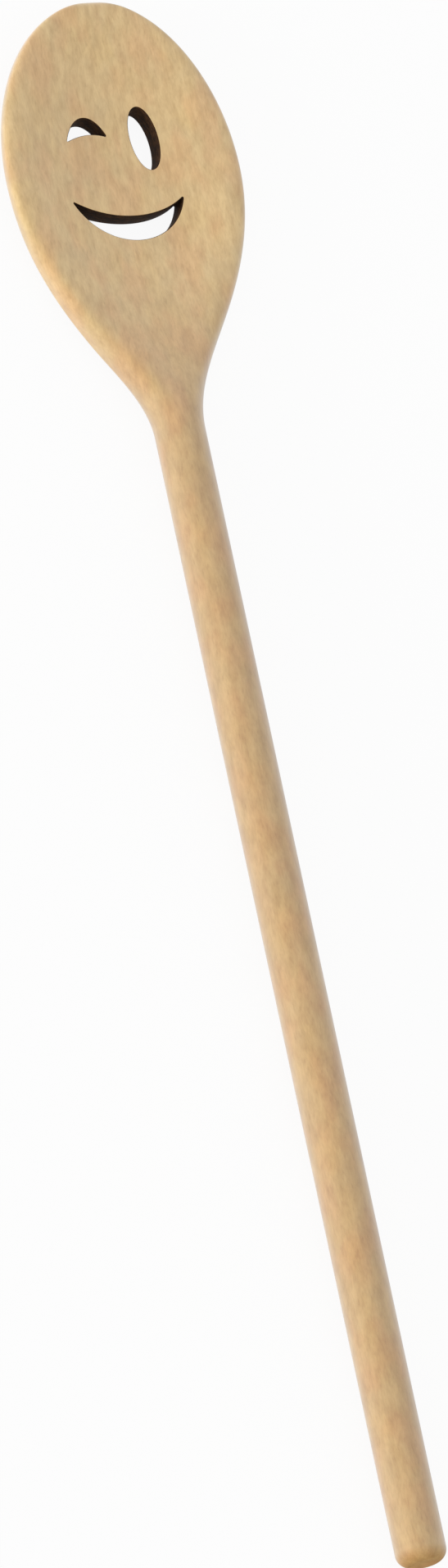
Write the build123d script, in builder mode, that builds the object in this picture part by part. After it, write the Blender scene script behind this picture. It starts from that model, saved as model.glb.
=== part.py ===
from build123d import *
import os
from math import cos, radians, sin, sqrt

# A beech cooking spoon, in millimetres: a plain round handle and a shallow oval bowl,
# with a winking face cut right through the bowl.
# The spoon lies along Y with the bowl's tip at +Y and its hollow side up (+Z).
# The belly's lowest point is at Z = 0. The head's heights are measured from the
# handle's centre line, which runs level at centre_height.

# The whole spoon
overall_length = 350.0
handle_diameter = 10.9
handle_end_rounding = 2.9

# The head, seen from above: a half ellipse at the tip, then one fair curve to the handle.
# Places along the head are shares of its length and are measured from the tip.
head_length = 98.2
bowl_width = 53.8
widest_share = 0.397
bowl_fairing_share = 0.485
neck_fairing_share = 0.27

# The head, seen from the side
rim_height = 2.1
edge_height = -0.5
throat_height = -1.9
tip_keel_drop = 4.6
belly_drop = 6.4
belly_share = 0.456
heel_share = 0.663
throat_share = 0.767
tip_top_rounding = 1.9
tip_bottom_rounding = 4.5

# How full the cross-section's corners are, as a share of the way to a square corner
round_fullness_share = 4 / 3 * (sqrt(2) - 1)
rim_fullness_share = 0.95
belly_fullness_share = 0.75

# The dish, milled by a wide wheel with a rounded tread, whose axle lies across the spoon
dish_width = 47.4
dish_depth = 3.7
dish_from_tip = 2.8
dish_end_share = 0.775967
dish_rim_height = 1.8
dish_edge_rounding = 1.0

# The open eye, an ellipse whose top leans inwards by its tilt in degrees
eye_width = 6.1
eye_length = 14.1
eye_offset = 6.9
eye_from_tip = 30.7
eye_tilt = 5.5

# The winking eye, an arch between two bowed lines, tilted by its degrees
wink_width = 9.7
wink_offset = 6.35
wink_ends_from_tip = 30.25
wink_lean = 0.4
wink_outer_rise = 4.7
wink_inner_rise = 1.0
wink_tilt = 6.0

# The mouth, a crescent between two bowed lines that lean towards the open eye
mouth_width = 25.7
mouth_corners_from_tip = 44.4
mouth_lean = 1.5
mouth_outer_drop = 9.1
mouth_inner_drop = 3.6

# How far a bowed line's two control points stand apart, as a share of its width
wink_outer_share = 0.5
wink_inner_share = 0.35
mouth_outer_share = 0.65
mouth_inner_share = 0.43

# Fineness of the head's sections, and how far every cut runs past the wood
tip_steps = 12
neck_steps = 8
overrun = 5.0

handle_radius = handle_diameter / 2
bowl_half_width = bowl_width / 2
tip_y = overall_length / 2
handle_end_y = -overall_length / 2
neck_y = tip_y - head_length
centre_height = belly_drop
widest_from_tip = head_length * widest_share
belly_from_tip = head_length * belly_share
heel_from_tip = head_length * heel_share
throat_from_tip = head_length * throat_share
neck_length = head_length - widest_from_tip
bowl_fairing = neck_length * bowl_fairing_share
neck_fairing = neck_length * neck_fairing_share
dish_length = head_length * dish_end_share - dish_from_tip


def blend(start_value, end_value, from_tip, start, end):
    """A value that leaves start and reaches end without a corner."""
    share = min(max((from_tip - start) / (end - start), 0), 1)
    return start_value + (end_value - start_value) * share * share * (3 - 2 * share)


def rounding(from_tip, length):
    """The share of its full height that the rounded tip has reached."""
    share = min(from_tip / length, 1)
    return sqrt(share * (2 - share))


def crest(from_tip):
    return blend(rim_height, handle_radius, from_tip, heel_from_tip, head_length)


def edge(from_tip):
    if from_tip < throat_from_tip:
        return blend(edge_height, throat_height, from_tip, widest_from_tip, throat_from_tip)
    return blend(throat_height, 0, from_tip, throat_from_tip, head_length)


def keel(from_tip):
    if from_tip < belly_from_tip:
        rise = (1 - from_tip / belly_from_tip) ** 2
        return -belly_drop + (belly_drop - tip_keel_drop) * rise
    return blend(-belly_drop, -handle_radius, from_tip, belly_from_tip, head_length)


def head_section(from_tip, half_width):
    """One cross-section of the head before the dish is cut."""
    side = edge(from_tip)
    top = side + (crest(from_tip) - side) * rounding(from_tip, tip_top_rounding)
    bottom = side + (keel(from_tip) - side) * rounding(from_tip, tip_bottom_rounding)
    top_share = blend(
        rim_fullness_share, round_fullness_share, from_tip, heel_from_tip, head_length
    )
    bottom_share = blend(
        belly_fullness_share, round_fullness_share, from_tip, belly_from_tip, head_length
    )
    quarters = (
        ((half_width, side), (half_width, top), (0, top), top_share),
        ((0, top), (-half_width, top), (-half_width, side), top_share),
        ((-half_width, side), (-half_width, bottom), (0, bottom), bottom_share),
        ((0, bottom), (half_width, bottom), (half_width, side), bottom_share),
    )
    curves = []
    for start, corner, end, share in quarters:
        start, corner, end = Vector(start), Vector(corner), Vector(end)
        leave = start + (corner - start) * share
        arrive = end + (corner - end) * share
        curves.append(Bezier(start, leave, arrive, end))
    section_plane = Plane((0, tip_y - from_tip, centre_height), (1, 0, 0), (0, -1, 0))
    return section_plane * Face(Wire(curves))


def tip_station(step):
    """A section on the tip's half ellipse, closer together towards the tip."""
    angle = radians(90 * step / tip_steps)
    return head_section(widest_from_tip * (1 - cos(angle)), bowl_half_width * sin(angle))


def neck_station(step):
    """A section on the curve that leads from the bowl's widest point to the handle."""
    share = step / neck_steps
    rest = 1 - share
    from_tip = (
        widest_from_tip
        + 3 * bowl_fairing * share * rest**2
        + 3 * (neck_length - neck_fairing) * share**2 * rest
        + neck_length * share**3
    )
    half_width = handle_radius + (bowl_half_width - handle_radius) * (1 + 2 * share) * rest**2
    return head_section(from_tip, half_width)


def crescent(middle, tilt, half_width, lean, *bows):
    """A sketch face between two bowed lines, each given by its height and its share."""
    with BuildLine() as lines:
        for height, share in bows:
            reach = height * 4 / 3  # a curve's middle stands at 3/4 of its control points' height
            points = (
                (-half_width, 0),
                (lean - half_width * share, reach),
                (lean + half_width * share, reach),
                (half_width, 0),
            )
            Bezier(*[Vector(point).rotate(Axis.Z, tilt) + Vector(middle) for point in points])
    make_face(lines.edges())


head_sections = [Vertex(0, tip_y, centre_height + edge(0))]
head_sections += [tip_station(step) for step in range(1, tip_steps + 1)]
head_sections += [neck_station(step) for step in range(1, neck_steps + 1)]

# The wheel's two radii give the dish its length and its width at the rim
dish_half_length = dish_length / 2
dish_half_width = dish_width / 2
dish_middle_y = tip_y - dish_from_tip - dish_half_length
dish_floor = centre_height + dish_rim_height - dish_depth
wheel_radius = (dish_half_length**2 + dish_depth**2) / (2 * dish_depth)
tread_radius = (dish_half_width**2 + dish_depth**2) / (2 * dish_depth)
tread_depth = dish_depth + overrun
tread_half_width = sqrt(tread_radius**2 - (tread_radius - tread_depth) ** 2)

with BuildPart() as bowl:
    loft(head_sections)

    with BuildSketch(Plane.XZ.offset(-dish_middle_y)):
        with BuildLine():
            tread = ThreePointArc(
                (-tread_half_width, dish_floor + tread_depth),
                (0, dish_floor),
                (tread_half_width, dish_floor + tread_depth),
            )
            Line(tread @ 1, tread @ 0)
        make_face()
    axle = Axis((0, dish_middle_y, dish_floor + wheel_radius), (1, 0, 0))
    revolve(axis=axle, mode=Mode.SUBTRACT)
    fillet(bowl.edges(Select.LAST), dish_edge_rounding)

    with BuildSketch(Plane.XY.offset(-overrun)):
        with Locations((eye_offset, tip_y - eye_from_tip)):
            Ellipse(eye_width / 2, eye_length / 2, rotation=eye_tilt)
        crescent(
            (-wink_offset, tip_y - wink_ends_from_tip),
            wink_tilt,
            wink_width / 2,
            wink_lean,
            (wink_inner_rise, wink_inner_share),
            (wink_outer_rise, wink_outer_share),
        )
        crescent(
            (0, tip_y - mouth_corners_from_tip),
            0,
            mouth_width / 2,
            mouth_lean,
            (-mouth_inner_drop, mouth_inner_share),
            (-mouth_outer_drop, mouth_outer_share),
        )
    extrude(amount=centre_height + handle_radius + 2 * overrun, mode=Mode.SUBTRACT)

with BuildPart() as handle:
    with BuildSketch(Plane.YZ) as half_profile:
        with BuildLine():
            Polyline(
                (neck_y, centre_height),
                (neck_y, centre_height + handle_radius),
                (handle_end_y, centre_height + handle_radius),
                (handle_end_y, centre_height),
                close=True,
            )
        make_face()
        free_end_corner = half_profile.vertices().sort_by(Axis.X)[:2].sort_by(Axis.Y)[-1]
        fillet(free_end_corner, handle_end_rounding)
    revolve(axis=Axis((0, neck_y, centre_height), (0, 1, 0)))

bowl.part.label = "bowl"
handle.part.label = "handle"

os.makedirs("parts", exist_ok=True)
export_step(bowl.part, "parts/bowl.step")
export_step(handle.part, "parts/handle.step")
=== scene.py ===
import math

import bmesh
import bpy
import numpy as np
from mathutils import Matrix, Vector, geometry


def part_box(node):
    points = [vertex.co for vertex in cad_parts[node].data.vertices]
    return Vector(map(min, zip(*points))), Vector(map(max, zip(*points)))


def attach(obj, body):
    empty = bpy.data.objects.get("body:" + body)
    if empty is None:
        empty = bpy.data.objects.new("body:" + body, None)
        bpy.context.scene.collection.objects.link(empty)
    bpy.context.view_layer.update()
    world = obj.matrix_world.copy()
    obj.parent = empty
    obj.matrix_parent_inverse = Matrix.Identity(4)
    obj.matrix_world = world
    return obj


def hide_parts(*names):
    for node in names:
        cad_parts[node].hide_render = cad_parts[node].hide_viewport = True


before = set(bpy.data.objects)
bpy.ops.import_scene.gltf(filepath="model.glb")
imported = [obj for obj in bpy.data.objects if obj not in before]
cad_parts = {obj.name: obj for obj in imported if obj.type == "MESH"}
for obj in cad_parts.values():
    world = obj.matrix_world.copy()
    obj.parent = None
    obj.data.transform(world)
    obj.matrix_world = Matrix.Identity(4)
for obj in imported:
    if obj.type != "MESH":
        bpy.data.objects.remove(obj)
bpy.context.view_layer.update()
mm = 0.001  # lengths are in millimetres here, and in metres in Blender

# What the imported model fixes
bowlLow, bowlHigh = (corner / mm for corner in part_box("bowl"))
handleLow, handleHigh = (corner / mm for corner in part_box("handle"))
tipY = bowlHigh.y
neckY = handleHigh.y
endY = handleLow.y
headLength = tipY - neckY
bowlHalfWidth = (bowlHigh.x - bowlLow.x) / 2
handleRadius = (handleHigh.x - handleLow.x) / 2
centreHeight = (handleHigh.z + handleLow.z) / 2
bellyDrop = centreHeight - bowlLow.z
print("frame read: the spoon is", round(tipY - endY), "mm long")

# The head's outer form. Heights are measured from the handle's centre line. Places along the
# head are shares of its length from the tip, and the two fairings are shares of the neck's.
headForm = {
    "widestShare": 0.397,
    "bellyShare": 0.456,
    "heelShare": 0.663,
    "throatShare": 0.767,
    "bowlFairingShare": 0.485,
    "neckFairingShare": 0.27,
    "rimHeight": 2.1,
    "edgeHeight": -0.5,
    "throatHeight": -3.0,
    "tipLift": 0.6,
    "tipKeelDrop": 4.6,
    "tipTopRounding": 1.9,
    "tipBottomRounding": 4.5,
    "rimFullness": 0.95,  # how far the curve's handles reach towards a square corner
    "bellyFullness": 0.75,
    "tipRows": 96,
    "neckRows": 96,
    "topColumns": 100,
    "bottomColumns": 50,
    "curveSteps": 400,
}
widestFromTip = headLength * headForm["widestShare"]
bellyFromTip = headLength * headForm["bellyShare"]
heelFromTip = headLength * headForm["heelShare"]
throatFromTip = headLength * headForm["throatShare"]
neckLength = headLength - widestFromTip
roundFullness = 4 / 3 * (math.sqrt(2) - 1)  # makes a quarter curve round

# The dish in the head, as a wide wheel with a rounded tread leaves it
dishForm = {
    "width": 47.4,
    "depth": 3.7,
    "fromTip": 2.8,
    "beforeNeck": 22.0,
    "rimHeight": 1.8,
    "edgeSoftness": 1.6,
}


def ease(first, last, place, start, end):
    # leaves the first value at start and reaches the last at end, without a corner
    share = np.clip((place - start) / (end - start), 0, 1)
    return first + (last - first) * share * share * (3 - 2 * share)


def roundedRise(fromTip, length):
    # how much of its full height the rounded tip has reached
    share = np.minimum(fromTip / length, 1)
    return np.sqrt(share * (2 - share))


def headRows():
    # each row's place from the tip and half its width: half an ellipse, then one fair curve
    angle = np.linspace(0, math.pi / 2, headForm["tipRows"] + 1)[1:]
    tipPlace = widestFromTip * (1 - np.cos(angle))
    share = np.linspace(0, 1, headForm["neckRows"] + 1)[1:]
    rest = 1 - share
    bowlFairing = neckLength * headForm["bowlFairingShare"]
    neckFairing = neckLength * headForm["neckFairingShare"]
    neckPlace = (
        widestFromTip
        + 3 * bowlFairing * share * rest**2
        + 3 * (neckLength - neckFairing) * share**2 * rest
        + neckLength * share**3
    )
    neckWidth = handleRadius + (bowlHalfWidth - handleRadius) * (1 + 2 * share) * rest**2
    return np.append(tipPlace, neckPlace), np.append(bowlHalfWidth * np.sin(angle), neckWidth)


rowPlaces, rowWidths = headRows()


def sectionLevels(fromTip):
    # the heights of a section's side edge, crest and keel
    form = headForm
    side = np.where(
        fromTip < throatFromTip,
        ease(form["edgeHeight"], form["throatHeight"], fromTip, widestFromTip, throatFromTip),
        ease(form["throatHeight"], 0, fromTip, throatFromTip, headLength),
    )
    side = side + form["tipLift"] * np.clip(1 - fromTip / widestFromTip, 0, 1) ** 2
    crest = ease(form["rimHeight"], handleRadius, fromTip, heelFromTip, headLength)
    rise = np.clip(1 - fromTip / bellyFromTip, 0, 1) ** 2
    keel = np.where(
        fromTip < bellyFromTip,
        (bellyDrop - form["tipKeelDrop"]) * rise - bellyDrop,
        ease(-bellyDrop, -handleRadius, fromTip, bellyFromTip, headLength),
    )
    top = side + (crest - side) * roundedRise(fromTip, form["tipTopRounding"])
    bottom = side + (keel - side) * roundedRise(fromTip, form["tipBottomRounding"])
    return side, top, bottom


def quarterCurve(halfWidth, side, level, fullness, t):
    # a quarter of a section, from its side edge to its crest or keel
    rest = 1 - t
    across = halfWidth * (rest**3 + 3 * rest**2 * t + 3 * fullness * rest * t**2)
    height = side * rest**3 + 3 * (side + (level - side) * fullness) * rest**2 * t
    return across, height + level * (3 * rest * t**2 + t**3)


def dishHeight(across, fromTip):
    form = dishForm
    depth = form["depth"]
    halfWidth = form["width"] / 2
    halfLength = (headLength - form["fromTip"] - form["beforeNeck"]) / 2
    wheelRadius = (halfLength**2 + depth**2) / (2 * depth)
    treadRadius = (halfWidth**2 + depth**2) / (2 * depth)
    along = fromTip - form["fromTip"] - halfLength
    reach = wheelRadius - treadRadius + np.sqrt(treadRadius**2 - across**2)
    return form["rimHeight"] - depth + wheelRadius - np.sqrt(reach**2 - along**2)


def softLower(first, second, softness):
    # the lower of two heights, rounded over where they cross
    blend = np.clip(1 - abs(first - second) / softness, 0, 1)
    return np.minimum(first, second) - blend**2 * softness / 4


def topCurve(fromTip, halfWidth, t):
    side, top, _ = sectionLevels(fromTip)
    fullness = ease(headForm["rimFullness"], roundFullness, fromTip, heelFromTip, headLength)
    across, height = quarterCurve(halfWidth, side, top, fullness, t)
    return across, softLower(height, dishHeight(across, fromTip), dishForm["edgeSoftness"])


def bottomCurve(fromTip, halfWidth, t):
    side, _, bottom = sectionLevels(fromTip)
    fullness = ease(headForm["bellyFullness"], roundFullness, fromTip, bellyFromTip, headLength)
    return quarterCurve(halfWidth, side, bottom, fullness, t)


def heightAt(curve, across, fromTip):
    # the surface's height over any spot of the plan, for the edges of the cut-outs
    halfWidth = np.interp(fromTip, rowPlaces, rowWidths)
    steps = np.linspace(0, 1, headForm["curveSteps"])
    acrossSteps, heightSteps = curve(fromTip, halfWidth, steps)
    return np.interp(abs(across), acrossSteps[::-1], heightSteps[::-1])


# The face: an open eye, a wink and a mouth, each cut straight through the wood. The wink and
# the mouth lie between two bowed lines, each given by its rise and how far its curve's
# handles stand apart, as a share of the width. The blocks are the stretches of the head,
# from the tip and across, that are meshed anew around the cut-outs.
faceForm = {
    "eye": {"width": 6.1, "length": 14.1, "across": 6.9, "fromTip": 30.7, "tilt": 5.5},
    "wink": {
        "width": 9.7,
        "across": -6.35,
        "fromTip": 30.25,
        "tilt": 6.0,
        "lean": 0.4,
        "outer": (4.7, 0.5),
        "inner": (1.0, 0.35),
    },
    "mouth": {
        "width": 25.7,
        "across": 0.0,
        "fromTip": 44.4,
        "tilt": 0.0,
        "lean": 1.5,
        "outer": (-9.1, 0.65),
        "inner": (-3.6, 0.43),
    },
    "cornerRadius": 0.15,
    "cornerSteps": 6,
    "edgeRadius": 0.22,
    "edgeSteps": 4,
    "cleanSteps": 1,  # how many steps of each rounded edge the scorching leaves clean
    "lineSteps": 2000,
    "pointSpacing": 0.3,
    "clearance": 0.28,
    "blockStart": 20.5,
    "blockEnd": 55.5,
    "topBlockShare": 0.7,
    "bottomBlockShare": 0.6,
    "planTolerance": 1e-6,
}


def placed(points, normals, form):
    # turns an outline by its tilt and moves it to its place on the head
    tilt = math.radians(form["tilt"])
    turned = np.array([(math.cos(tilt), math.sin(tilt)), (-math.sin(tilt), math.cos(tilt))])
    return points @ turned + (form["across"], tipY - form["fromTip"]), normals @ turned


def eyeOutline():
    eye = faceForm["eye"]
    halfWidth = eye["width"] / 2
    halfLength = eye["length"] / 2
    count = round(math.pi * (halfWidth + halfLength) / faceForm["pointSpacing"])
    angle = 2 * math.pi * np.arange(count) / count
    points = np.stack([halfWidth * np.cos(angle), halfLength * np.sin(angle)], axis=1)
    normals = np.stack([halfLength * np.cos(angle), halfWidth * np.sin(angle)], axis=1)
    normals /= np.linalg.norm(normals, axis=1)[:, None]
    return placed(points, normals, eye)


def bowedLine(form, rise, share, outward):
    # a bowed line's points from left to right, with their normals into the wood, which lies
    # above the line where outward is 1 and below it where it is -1
    half = form["width"] / 2
    reach = rise * 4 / 3  # a curve's middle stands at 3/4 of its handles' height
    left = (form["lean"] - half * share, reach)
    right = (form["lean"] + half * share, reach)
    t = np.linspace(0, 1, faceForm["lineSteps"] + 1)[:, None]
    rest = 1 - t
    points = (
        rest**3 * (-half, 0)
        + 3 * rest**2 * t * left
        + 3 * rest * t**2 * right
        + t**3 * (half, 0)
    )
    along = np.gradient(points, axis=0)
    normals = np.column_stack([-along[:, 1], along[:, 0]]) * outward
    return points, normals / np.linalg.norm(normals, axis=1)[:, None]


def nearestPair(first, second):
    gaps = ((first[:, None, :] - second[None, :, :]) ** 2).sum(axis=2)
    return np.unravel_index(gaps.argmin(), gaps.shape)


def evenSpots(points, start, end):
    # places in the list from start towards end, spaced evenly along it, without the last
    step = 1 if end > start else -1
    places = np.arange(start, end + step, step)
    run = np.append(0, np.cumsum(np.linalg.norm(np.diff(points[places], axis=0), axis=1)))
    count = round(run[-1] / faceForm["pointSpacing"])
    return places[np.searchsorted(run, np.linspace(0, run[-1], count + 1)[:-1])]


def cornerRound(centre, firstNormal, lastNormal):
    # the points of a corner's small arc, without the last
    first = math.atan2(firstNormal[1], firstNormal[0])
    last = math.atan2(lastNormal[1], lastNormal[0])
    turn = math.remainder(last - first, 2 * math.pi)
    steps = faceForm["cornerSteps"]
    angles = first + turn * np.arange(steps) / steps
    normals = np.column_stack([np.cos(angles), np.sin(angles)])
    return centre + faceForm["cornerRadius"] * normals, normals


def crescentOutline(form):
    # a small round in each corner touches both lines
    corner = faceForm["cornerRadius"]
    up = math.copysign(1, form["outer"][0])
    outer, outerNormals = bowedLine(form, *form["outer"], up)
    inner, innerNormals = bowedLine(form, *form["inner"], -up)
    outerTrack = outer - outerNormals * corner
    innerTrack = inner - innerNormals * corner
    half = len(outer) // 2
    outerStart, innerStart = nearestPair(outerTrack[:half], innerTrack[:half])
    farPair = nearestPair(outerTrack[half:], innerTrack[half:])
    outerEnd, innerEnd = (half + spot for spot in farPair)

    over = evenSpots(outer, outerStart, outerEnd)
    back = evenSpots(inner, innerEnd, innerStart)
    pieces = [
        (outer[over], outerNormals[over]),
        cornerRound(outerTrack[outerEnd], outerNormals[outerEnd], innerNormals[innerEnd]),
        (inner[back], innerNormals[back]),
        cornerRound(outerTrack[outerStart], innerNormals[innerStart], outerNormals[outerStart]),
    ]
    points, normals = (np.concatenate(part) for part in zip(*pieces))
    return placed(points, normals, form)


def insideOutline(spots, outline):
    # a spot is inside where a line to its right crosses the outline an odd number of times
    x, y = spots[:, 0:1], spots[:, 1:2]
    firstX, firstY = outline[:, 0], outline[:, 1]
    nextX, nextY = np.roll(firstX, -1), np.roll(firstY, -1)
    crosses = (firstY > y) != (nextY > y)
    rise = np.where(nextY == firstY, 1, nextY - firstY)
    crossingX = firstX + (y - firstY) * (nextX - firstX) / rise
    return (crosses & (x < crossingX)).sum(axis=1) % 2 == 1


def gapToOutline(spots, outline):
    return np.sqrt(((spots[:, None, :] - outline[None, :, :]) ** 2).sum(axis=2)).min(axis=1)


class Shell:
    # collects the corners and faces of one closed piece, in millimetres

    flatAngle = 0.2  # how freely two triangles join into one quad, in radians
    shapeAngle = 0.5

    def __init__(self):
        self.points = []
        self.faces = []
        self.slots = []
        self.sharp = []

    def add(self, points):
        first = len(self.points)
        self.points.extend(tuple(point) for point in points)
        return np.arange(first, len(self.points))

    def plan(self, corners):
        # the corners as they lie seen from above
        return np.array([self.points[corner][:2] for corner in corners])

    def face(self, corners, slot=0):
        self.faces.append([int(corner) for corner in corners])
        self.slots.append(slot)

    def strip(self, first, second, slot=0):
        # a closed band of quads between two rings of the same length
        nextFirst, nextSecond = np.roll(first, -1), np.roll(second, -1)
        for corners in zip(first, nextFirst, nextSecond, second):
            self.face(corners, slot)

    def fan(self, ring, middle):
        centre = self.add([middle])[0]
        for start, end in zip(ring, np.roll(ring, -1)):
            self.face((start, end, centre))

    def cap(self, ring, middle):
        # a flat end with a crisp edge
        self.fan(ring, middle)
        for start, end in zip(ring, np.roll(ring, -1)):
            self.sharp.append(frozenset((int(start), int(end))))

    def build(self, name, finishes):
        work = bmesh.new()
        corners = [work.verts.new(Vector(point) * mm) for point in self.points]
        for face, slot in zip(self.faces, self.slots):
            made = work.faces.new([corners[corner] for corner in face])
            made.material_index = slot
            made.smooth = True
        work.verts.index_update()
        for edge in work.edges:
            if frozenset(vert.index for vert in edge.verts) in self.sharp:
                edge.smooth = False
        unused = [vert for vert in work.verts if not vert.link_faces]
        bmesh.ops.delete(work, geom=unused, context="VERTS")
        bmesh.ops.recalc_face_normals(work, faces=work.faces)
        bmesh.ops.join_triangles(
            work,
            faces=[face for face in work.faces if len(face.verts) == 3],
            angle_face_threshold=self.flatAngle,
            angle_shape_threshold=self.shapeAngle,
            cmp_materials=True,
        )
        mesh = bpy.data.meshes.new(name)
        work.to_mesh(mesh)
        work.free()
        for finish in finishes:
            mesh.materials.append(finish)
        piece = bpy.data.objects.new(name, mesh)
        bpy.context.scene.collection.objects.link(piece)
        return piece


def faceOutlines():
    return [eyeOutline(), crescentOutline(faceForm["wink"]), crescentOutline(faceForm["mouth"])]


def cutOutRings(shell, outline, curve, inward):
    # rings from the rounded edge on one side of the wood to the start of the straight wall,
    # where inward is -1 on top of the wood and 1 underneath
    points, normals = outline
    edge = faceForm["edgeRadius"]
    level = np.array([heightAt(curve, x, tipY - y) for x, y in points + normals * edge])
    rings = []
    for turn in np.radians(np.linspace(0, 90, faceForm["edgeSteps"] + 1)):
        spots = points + normals * edge * (1 - math.sin(turn))
        height = level + inward * edge * (1 - math.cos(turn)) + centreHeight
        rings.append(shell.add(np.column_stack([spots, height])))
    return rings


def fillAround(shell, block, outlineRings):
    # fills one block of the grid with triangles that meet the cut-outs' outlines
    ids = block.ravel()
    border = np.concatenate([block[0, :-1], block[:-1, -1], block[-1, :0:-1], block[:0:-1, 0]])
    onBorder = np.isin(ids, border)
    holes = [shell.plan(ring) for ring in outlineRings]
    plan = shell.plan(ids)
    clear = ~onBorder
    for hole in holes:
        near = gapToOutline(plan, hole) < faceForm["clearance"]
        clear &= ~(insideOutline(plan, hole) | near)

    used = np.concatenate([ids[onBorder | clear]] + outlineRings)
    placeOf = {int(corner): place for place, corner in enumerate(used)}
    edges = []
    for loop in [border] + outlineRings:
        for start, end in zip(loop, np.roll(loop, -1)):
            edges.append((placeOf[int(start)], placeOf[int(end)]))
    spots = [Vector(spot) for spot in shell.plan(used)]
    found = geometry.delaunay_2d_cdt(spots, edges, [], 0, faceForm["planTolerance"])

    corners = np.array([tuple(spot) for spot in found[0]])
    triangles = np.array([list(face) for face in found[2]])
    sources = [int(used[source[0]]) for source in found[3]]
    middles = corners[triangles].mean(axis=1)
    inside = insideOutline(middles, shell.plan(border))
    for hole in holes:
        inside &= ~insideOutline(middles, hole)
    for triangle in triangles[inside]:
        shell.face([sources[corner] for corner in triangle])


def quarterSteps(count):
    # the steps from a side edge to the middle and on to the other side edge, without the last
    rising = np.linspace(0, 1, count + 1)
    return np.concatenate([rising[:-1], rising[:0:-1]])


def headGrid(shell):
    topCount, bottomCount = headForm["topColumns"], headForm["bottomColumns"]
    sides = np.repeat([1, -1, -1, 1], [topCount, topCount, bottomCount, bottomCount])
    rows = []
    for fromTip, halfWidth in zip(rowPlaces, rowWidths):
        topAcross, topHeight = topCurve(fromTip, halfWidth, quarterSteps(topCount))
        bottomAcross, bottomHeight = bottomCurve(fromTip, halfWidth, quarterSteps(bottomCount))
        across = np.concatenate([topAcross, bottomAcross]) * sides
        along = np.full_like(across, tipY - fromTip)
        height = np.concatenate([topHeight, bottomHeight]) + centreHeight
        rows.append(shell.add(np.column_stack([across, along, height])))
    return np.array(rows)


def buildHead(finishes):
    shell = Shell()
    grid = headGrid(shell)
    rowCount, columnCount = grid.shape

    # the two blocks of the grid that the face goes through, on top and underneath
    topCount, bottomCount = headForm["topColumns"], headForm["bottomColumns"]
    inFace = (rowPlaces > faceForm["blockStart"]) & (rowPlaces < faceForm["blockEnd"])
    faceRows = np.where(inFace)[0]
    firstRow, lastRow = faceRows[0], faceRows[-1]
    topFirst = round(topCount * faceForm["topBlockShare"])
    bottomFirst = round(bottomCount * faceForm["bottomBlockShare"])
    blocks = [
        (topFirst, 2 * topCount - topFirst),
        (2 * topCount + bottomFirst, 2 * topCount + 2 * bottomCount - bottomFirst),
    ]
    for row in range(rowCount - 1):
        near, far = grid[row], grid[row + 1]
        for column in range(columnCount):
            inBlock = any(start <= column < end for start, end in blocks)
            if inBlock and firstRow <= row < lastRow:
                continue
            after = (column + 1) % columnCount
            shell.face((near[column], near[after], far[after], far[column]))

    topEdges = []
    bottomEdges = []
    cleanSteps = faceForm["cleanSteps"]
    for outline in faceOutlines():
        topRings = cutOutRings(shell, outline, topCurve, -1)
        bottomRings = cutOutRings(shell, outline, bottomCurve, 1)
        topEdges.append(topRings[0])
        bottomEdges.append(bottomRings[0])
        rings = topRings + bottomRings[::-1]
        steps = len(rings) - 1
        for step in range(steps):
            scorchedStep = cleanSteps <= step < steps - cleanSteps
            shell.strip(rings[step], rings[step + 1], int(scorchedStep))
    for (start, end), outlineRings in zip(blocks, (topEdges, bottomEdges)):
        fillAround(shell, grid[firstRow : lastRow + 1, start : end + 1], outlineRings)

    tipLevel = centreHeight + headForm["edgeHeight"] + headForm["tipLift"]
    shell.fan(grid[0], (0, tipY, tipLevel))
    shell.cap(grid[-1], (0, neckY, centreHeight))
    return shell.build("SpoonHead", finishes)


# The handle: a plain round stick with a rounded free end
handleForm = {"endRounding": 2.9, "segments": 144, "ringSpacing": 3.0, "endSteps": 12}


def buildHandle(finishes):
    shell = Shell()
    form = handleForm
    rounding = form["endRounding"]
    straight = neckY - endY - rounding
    steps = round(straight / form["ringSpacing"])
    profile = [(neckY - straight * step / steps, handleRadius) for step in range(steps + 1)]
    for turn in np.radians(np.linspace(0, 90, form["endSteps"] + 1))[1:]:
        place = endY + rounding * (1 - math.sin(turn))
        profile.append((place, handleRadius - rounding * (1 - math.cos(turn))))
    angles = 2 * math.pi * np.arange(form["segments"]) / form["segments"]
    rings = []
    for place, radius in profile:
        across = radius * np.cos(angles)
        along = np.full_like(across, place)
        height = radius * np.sin(angles) + centreHeight
        rings.append(shell.add(np.column_stack([across, along, height])))
    for first, second in zip(rings, rings[1:]):
        shell.strip(first, second)
    shell.cap(rings[0], (0, neckY, centreHeight))
    shell.fan(rings[-1], (0, endY, centreHeight))
    return shell.build("SpoonHandle", finishes)


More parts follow.
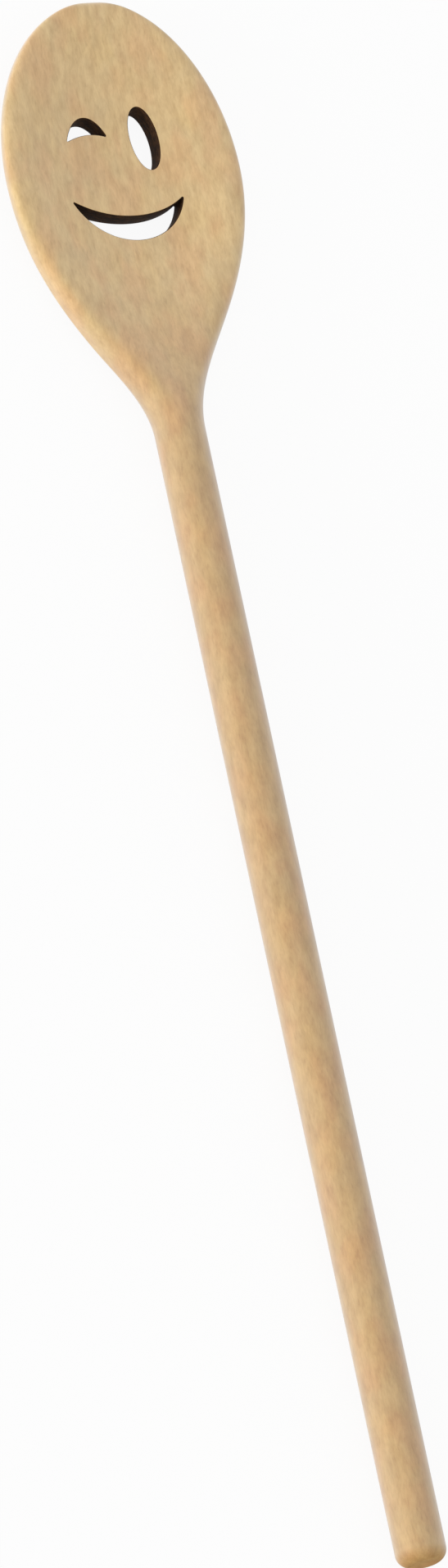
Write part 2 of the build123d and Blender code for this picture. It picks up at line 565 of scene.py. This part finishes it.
class Signal:
    # one output socket of a shader tree, with the usual operators. An empty tree starts with
    # a signal that has no socket and only adds nodes.

    def __init__(self, tree, socket=None):
        self.tree = tree
        self.socket = socket

    def node(self, kind, settings, values, output=0):
        made = self.tree.nodes.new(kind)
        for key, value in settings.items():
            setattr(made, key, value)
        for key, value in values.items():
            if isinstance(value, Signal):
                self.tree.links.new(value.socket, made.inputs[key])
            else:
                made.inputs[key].default_value = value
        return Signal(self.tree, made.outputs[output] if made.outputs else None)

    def maths(self, operation, first, second):
        return self.node("ShaderNodeMath", {"operation": operation}, {0: first, 1: second})

    def __add__(self, other):
        return self.maths("ADD", self, other)

    def __radd__(self, other):
        return self.maths("ADD", other, self)

    def __sub__(self, other):
        return self.maths("SUBTRACT", self, other)

    def __rsub__(self, other):
        return self.maths("SUBTRACT", other, self)

    def __mul__(self, other):
        return self.maths("MULTIPLY", self, other)

    def __rmul__(self, other):
        return self.maths("MULTIPLY", other, self)

    def larger(self, other):
        return self.maths("MAXIMUM", self, other)

    def scaled(self, factors):
        values = {0: self, 1: factors}
        return self.node("ShaderNodeVectorMath", {"operation": "MULTIPLY"}, values)

    def noise(self, scale, offset, detail, roughness):
        # scale is in cycles per millimetre along each axis
        values = {0: self, 1: scale, 2: offset}
        moved = self.node("ShaderNodeVectorMath", {"operation": "MULTIPLY_ADD"}, values)
        values = {"Vector": moved, "Scale": 1.0, "Detail": detail, "Roughness": roughness}
        return self.node("ShaderNodeTexNoise", {}, values)

    def smooth(self, low, high):
        # 0 at low, 1 at high and eased between
        values = {"Value": self, "From Min": low, "From Max": high}
        return self.node("ShaderNodeMapRange", {"interpolation_type": "SMOOTHSTEP"}, values)

    def mixed(self, first, second, mode="MIX"):
        # two colours mixed by this signal
        settings = {"data_type": "RGBA", "blend_type": mode}
        values = {0: self, 6: opaque(first), 7: opaque(second)}
        return self.node("ShaderNodeMix", settings, values, 2)

    def mixedShader(self, first, second):
        return self.node("ShaderNodeMixShader", {}, {0: self, 1: first, 2: second})


def opaque(colour):
    return colour if isinstance(colour, Signal) else (*colour, 1)


def emptyTree(owner):
    owner.use_nodes = True
    owner.node_tree.nodes.clear()
    return Signal(owner.node_tree)


def placeInWood(start):
    # a point's place in the piece, in millimetres
    return start.node("ShaderNodeTexCoord", {}, {}, "Object").scaled((1 / mm, 1 / mm, 1 / mm))


# Bare sanded beech, whose grain runs along the spoon. A patch's tint comes in as its noise
# rises from its first level to its second.
woodLook = {
    # The bowl is painted about a third paler than the handle. This is painted light that evens out
    # the low lamp, which lights the stick more than the dish. The handle's slightly oranger hue is
    # the wood's own.
    "bowlColorPaintedPaler": (0.75, 0.523, 0.224),
    "handleColorPaintedDarker": (0.58, 0.372, 0.147),
    "paintedLightBlend": (-4.0, 46.0),  # from the neck towards the tip, where one turns into the other
    "pinkPatch": {
        "tint": (1.0, 0.91, 0.88),
        "noise": {"scale": (0.16, 0.09, 0.16), "offset": (0, 0, 0), "detail": 2, "roughness": 0.5},
        "levels": (0.42, 0.66),
    },
    "greyPatch": {
        "tint": (0.94, 0.95, 0.97),
        "noise": {"scale": (0.21, 0.12, 0.21), "offset": (31, 7, 12), "detail": 2, "roughness": 0.5},
        "levels": (0.44, 0.68),
    },
    "yellowPatch": {
        "tint": (0.99, 0.975, 0.91),
        "noise": {"scale": (0.19, 0.1, 0.19), "offset": (11, 23, 5), "detail": 2, "roughness": 0.5},
        "levels": (0.44, 0.68),
    },
    "grain": {"scale": (0.66, 0.22, 0.66), "offset": (5, 3, 8), "detail": 2, "roughness": 0.5},
    "fibre": {"scale": (2.7, 0.7, 2.7), "offset": (9, 14, 2), "detail": 2, "roughness": 0.6},
    "fleck": {"scale": (1.8, 0.5, 1.8), "offset": (17, 2, 4), "detail": 1, "roughness": 0.5},
    "fleckLevels": (0.56, 0.74),
    "noiseMiddle": 0.5,
    "grainAmount": 1.65,
    "fibreAmount": 0.95,
    "fleckAmount": 0.25,
    "streakLevel": 0.37,
    "streakTint": (0.74, 0.66, 0.55),
    "roughness": 0.62,
    "sheen": 1.0,
    "sheenRoughness": 0.6,
    "bumpStrength": 0.25,
    "bumpHeight": 0.05,
    "endTint": (0.9, 0.84, 0.74),
    "endDepth": 3.0,
    "endRoughness": 0.85,
}


def plainWood():
    look = woodLook
    material = bpy.data.materials.new("beech")
    place = placeInWood(emptyTree(material))
    along = place.node("ShaderNodeSeparateXYZ", {}, {0: place}, "Y")

    # Painted light: the base colour turns from the handle's darker copy to the bowl's paler one
    blendStart, blendEnd = look["paintedLightBlend"]
    paintedLightOnHead = along.smooth(neckY + blendStart, neckY + blendEnd)
    ground = paintedLightOnHead.mixed(look["handleColorPaintedDarker"], look["bowlColorPaintedPaler"])
    for patch in (look["pinkPatch"], look["greyPatch"], look["yellowPatch"]):
        inPatch = place.noise(**patch["noise"]).smooth(*patch["levels"])
        ground = inPatch.mixed(ground, patch["tint"], "MULTIPLY")
    atEnd = along.smooth(endY + look["endDepth"], endY)
    ground = atEnd.mixed(ground, look["endTint"], "MULTIPLY")

    fibre = place.noise(**look["fibre"])
    grain = place.noise(**look["grain"])
    fleck = place.noise(**look["fleck"]).smooth(*look["fleckLevels"])
    streak = (grain - look["noiseMiddle"]) * look["grainAmount"]
    streak = streak + (fibre - look["noiseMiddle"]) * look["fibreAmount"]
    streak = streak + fleck * look["fleckAmount"] + look["streakLevel"]
    grown = streak.mixed(ground, look["streakTint"], "MULTIPLY")

    bumpValues = {
        "Strength": look["bumpStrength"],
        "Distance": look["bumpHeight"] * mm,
        "Height": fibre,
    }
    sideValues = {
        "Base Color": grown,
        "Roughness": look["roughness"],
        "Sheen Weight": look["sheen"],
        "Sheen Roughness": look["sheenRoughness"],
        "Normal": place.node("ShaderNodeBump", {}, bumpValues),
    }
    side = place.node("ShaderNodeBsdfPrincipled", {}, sideValues)

    # the sawn end lacks the pale sheen of the long fibres
    endValues = {"Base Color": grown, "Roughness": look["endRoughness"]}
    end = place.node("ShaderNodeBsdfPrincipled", {}, endValues)
    place.node("ShaderNodeOutputMaterial", {}, {"Surface": atEnd.mixedShader(side, end)})
    return material


# The walls of the cut-outs, as a hot cutter leaves them
scorchLook = {
    "deep": (0.016, 0.006, 0.002),
    "light": (0.07, 0.03, 0.01),
    "patch": {"scale": (0.6, 0.6, 1.5), "offset": (2, 9, 4), "detail": 3, "roughness": 0.6},
    "patchLevels": (0.35, 0.7),
    "roughness": 0.8,
    "shine": 0.15,
}


def scorchedWood():
    look = scorchLook
    material = bpy.data.materials.new("scorched beech")
    place = placeInWood(emptyTree(material))
    inPatch = place.noise(**look["patch"]).smooth(*look["patchLevels"])
    wallValues = {
        "Base Color": inPatch.mixed(look["deep"], look["light"]),
        "Roughness": look["roughness"],
        "Specular IOR Level": look["shine"],
    }
    wall = place.node("ShaderNodeBsdfPrincipled", {}, wallValues)
    place.node("ShaderNodeOutputMaterial", {}, {"Surface": wall})
    return material


beech = plainWood()
scorched = scorchedWood()
print("finishes made:", beech.name, "and", scorched.name)
head = buildHead([beech, scorched])
print("head built:", len(head.data.polygons), "faces")
handle = buildHandle([beech])
print("handle built:", len(handle.data.polygons), "faces")
for piece, node in ((head, "bowl"), (handle, "handle")):
    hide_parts(node)
    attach(piece, "root")

# The photo's view: the spoon lies slanted in the picture, turned about its own axis and
# leaning away from the camera. The clip planes are shares of the camera's distance.
viewLook = {
    "turn": 26.0,
    "lean": 17.5,
    "roll": 12.114,
    "pixelsPerMillimetre": 5.838,
    "pictureHeight": 1913,
    "target": (-6.922, -1.458, 5.859),
    "lens": 480.0,
    "sensor": 36.0,
    "clipStart": 0.01,
    "clipEnd": 10.0,
}


def placeCamera():
    look = viewLook
    turn, lean, roll = (math.radians(look[key]) for key in ("turn", "lean", "roll"))
    right = Vector((math.cos(turn), 0, math.sin(turn)))
    downAcross, downAlong = math.sin(lean), -math.cos(lean)
    down = Vector((math.sin(turn) * downAcross, downAlong, -math.cos(turn) * downAcross))
    pictureRight = right * math.cos(roll) + down * math.sin(roll)
    pictureUp = right * math.sin(roll) - down * math.cos(roll)
    back = pictureRight.cross(pictureUp)
    pictureSpan = look["pictureHeight"] / look["pixelsPerMillimetre"]
    distance = pictureSpan * look["lens"] / look["sensor"]
    data = bpy.data.cameras.new("Camera")
    data.lens = look["lens"]
    data.sensor_width = look["sensor"]
    data.clip_start = distance * look["clipStart"] * mm
    data.clip_end = distance * look["clipEnd"] * mm
    camera = bpy.data.objects.new("Camera", data)
    turned = Matrix((pictureRight, pictureUp, back)).transposed().to_4x4()
    spot = Vector(look["target"]) + back * distance
    camera.matrix_world = Matrix.Translation(spot * mm) @ turned
    bpy.context.scene.collection.objects.link(camera)
    bpy.context.scene.camera = camera


def seenRays(start):
    # 1 for what the camera sees, also in a reflection or through glass
    names = ("Is Camera Ray", "Is Glossy Ray", "Is Transmission Ray")
    direct, mirrored, through = (
        start.node("ShaderNodeLightPath", {}, {}, name) for name in names
    )
    return direct.larger(mirrored).larger(through)


# An even pale sky, and a broad soft lamp low on the left of the spoon
lightLook = {
    "sky": (0.76, 0.76, 0.76),
    "seenSky": (1.0, 1.0, 1.0),
    "sun": 2.4,
    "sunAngle": 30.0,
    "sunFromTop": -85.0,
}


def placeLights():
    look = lightLook
    world = bpy.data.worlds.new("World")
    bpy.context.scene.world = world
    start = emptyTree(world)
    tone = seenRays(start).mixed(look["sky"], look["seenSky"])
    sky = start.node("ShaderNodeBackground", {}, {"Color": tone})
    start.node("ShaderNodeOutputWorld", {}, {"Surface": sky})

    data = bpy.data.lights.new("Sun", "SUN")
    data.energy = look["sun"]
    data.angle = math.radians(look["sunAngle"])
    fromTop = math.radians(look["sunFromTop"])
    towards = Vector((math.sin(fromTop), 0, math.cos(fromTop)))
    sun = bpy.data.objects.new("Sun", data)
    sun.rotation_mode = "QUATERNION"
    sun.rotation_quaternion = towards.to_track_quat("Z", "Y")
    bpy.context.scene.collection.objects.link(sun)
    return sun


# A matt pale floor, whose glow shows it nearly white and leaves the spoon's shadow faint
floorLook = {
    "reach": 20000.0,
    "color": (0.9, 0.9, 0.9),
    "roughness": 1.0,
    "glowColor": (1.0, 1.0, 1.0),
    "glowStrength": 1.0,
    "glowShare": 0.92,
}


def placeFloor():
    look = floorLook
    material = bpy.data.materials.new("white floor")
    start = emptyTree(material)
    paintValues = {"Base Color": opaque(look["color"]), "Roughness": look["roughness"]}
    paint = start.node("ShaderNodeBsdfPrincipled", {}, paintValues)
    glowValues = {"Color": opaque(look["glowColor"]), "Strength": look["glowStrength"]}
    glow = start.node("ShaderNodeEmission", {}, glowValues)
    surface = (seenRays(start) * look["glowShare"]).mixedShader(paint, glow)
    start.node("ShaderNodeOutputMaterial", {}, {"Surface": surface})

    reach = look["reach"] * mm
    data = bpy.data.meshes.new("Floor")
    corners = [(-reach, -reach, 0), (reach, -reach, 0), (reach, reach, 0), (-reach, reach, 0)]
    data.from_pydata(corners, [], [(0, 1, 2, 3)])
    data.materials.append(material)
    floor = bpy.data.objects.new("Floor", data)
    bpy.context.scene.collection.objects.link(floor)
    return floor


placeCamera()
sun = placeLights()
floor = placeFloor()
bpy.context.scene.view_settings.view_transform = "Standard"
print("camera, lights and floor placed")
